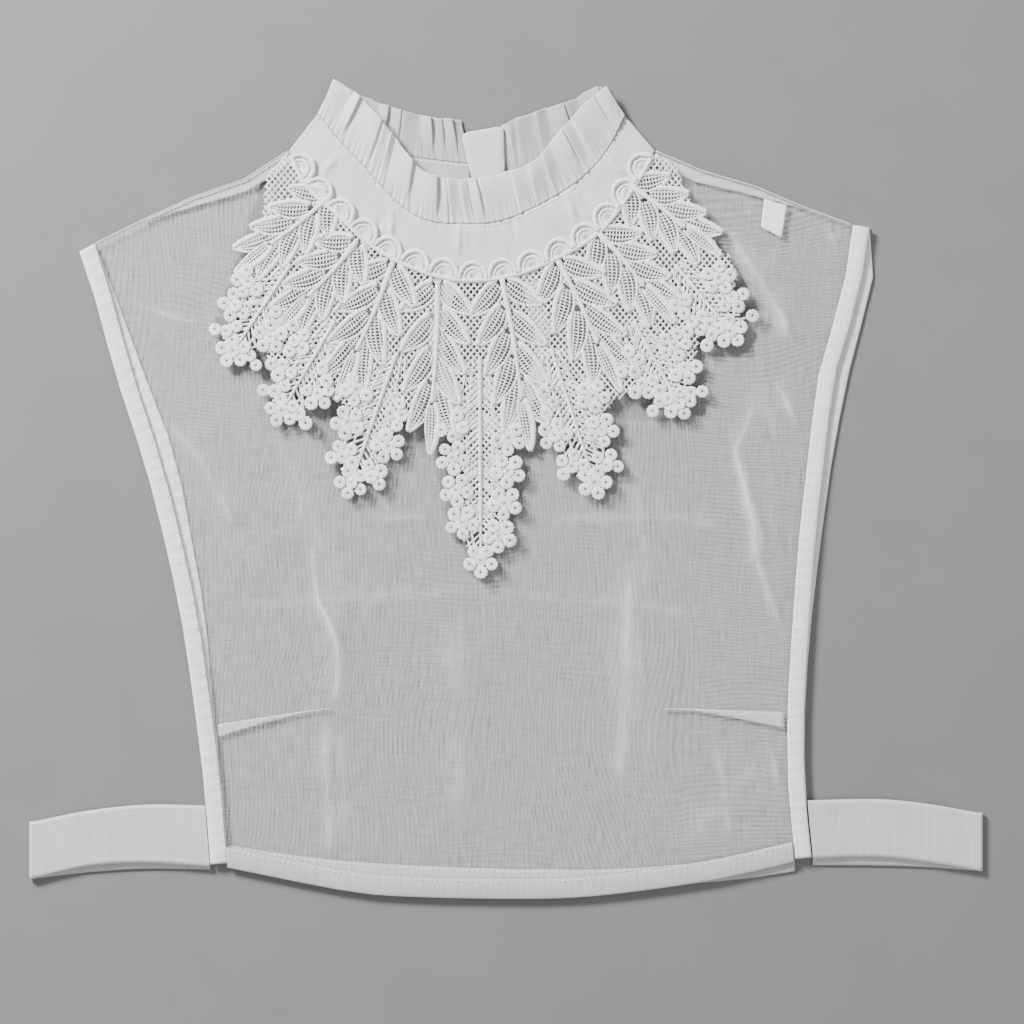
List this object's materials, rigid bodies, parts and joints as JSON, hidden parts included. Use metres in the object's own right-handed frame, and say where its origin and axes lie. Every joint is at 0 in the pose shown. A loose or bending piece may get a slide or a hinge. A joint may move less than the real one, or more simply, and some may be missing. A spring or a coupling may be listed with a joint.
{
  "type": "false collar",
  "caption": "Sheer white false collar laid flat: gathered stand collar, leaf and berry lace, bound armholes, hemmed panels and elastic side straps",
  "frame": {"origin": "on the flat underside of the back panel, in the middle of the chest", "axes": "+X to the viewer's right across the garment, +Y from the hem up to the neck, +Z out of the garment's front"},
  "size_m": [0.4774, 0.4094, 0.0086],
  "materials": {
    "chiffon": "sheer plain weave, matt",
    "binding": "folded chiffon strip, opaque, stitched",
    "collar_cloth": "chiffon in several layers, matt",
    "elastic": "ribbed woven elastic",
    "lace_thread": "thick embroidered thread, soft shine",
    "bare_tab": "smooth satin tape, blank"
  },
  "bodies": {
    "root": {"back_panel": "chiffon", "back_binding_left": "binding", "back_binding_right": "binding", "back_hem": "binding", "back_drop_binding": "binding", "front_panel": "chiffon", "front_binding_left": "binding", "front_binding_right": "binding", "front_hem": "binding", "front_drop_binding": "binding", "shoulder_seam_left": "chiffon", "shoulder_seam_right": "chiffon", "dart_left": "chiffon", "dart_right": "chiffon", "seam_tab": "bare_tab", "side_elastic_left": "elastic", "side_elastic_right": "elastic", "stand_front": "collar_cloth", "stand_back_left": "collar_cloth", "stand_back_right": "collar_cloth", "ruffle_front": "collar_cloth", "ruffle_back_left": "collar_cloth", "ruffle_back_right": "collar_cloth", "closure_lap": "collar_cloth", "lace": "lace_thread"}
  },
  "joints": []
}
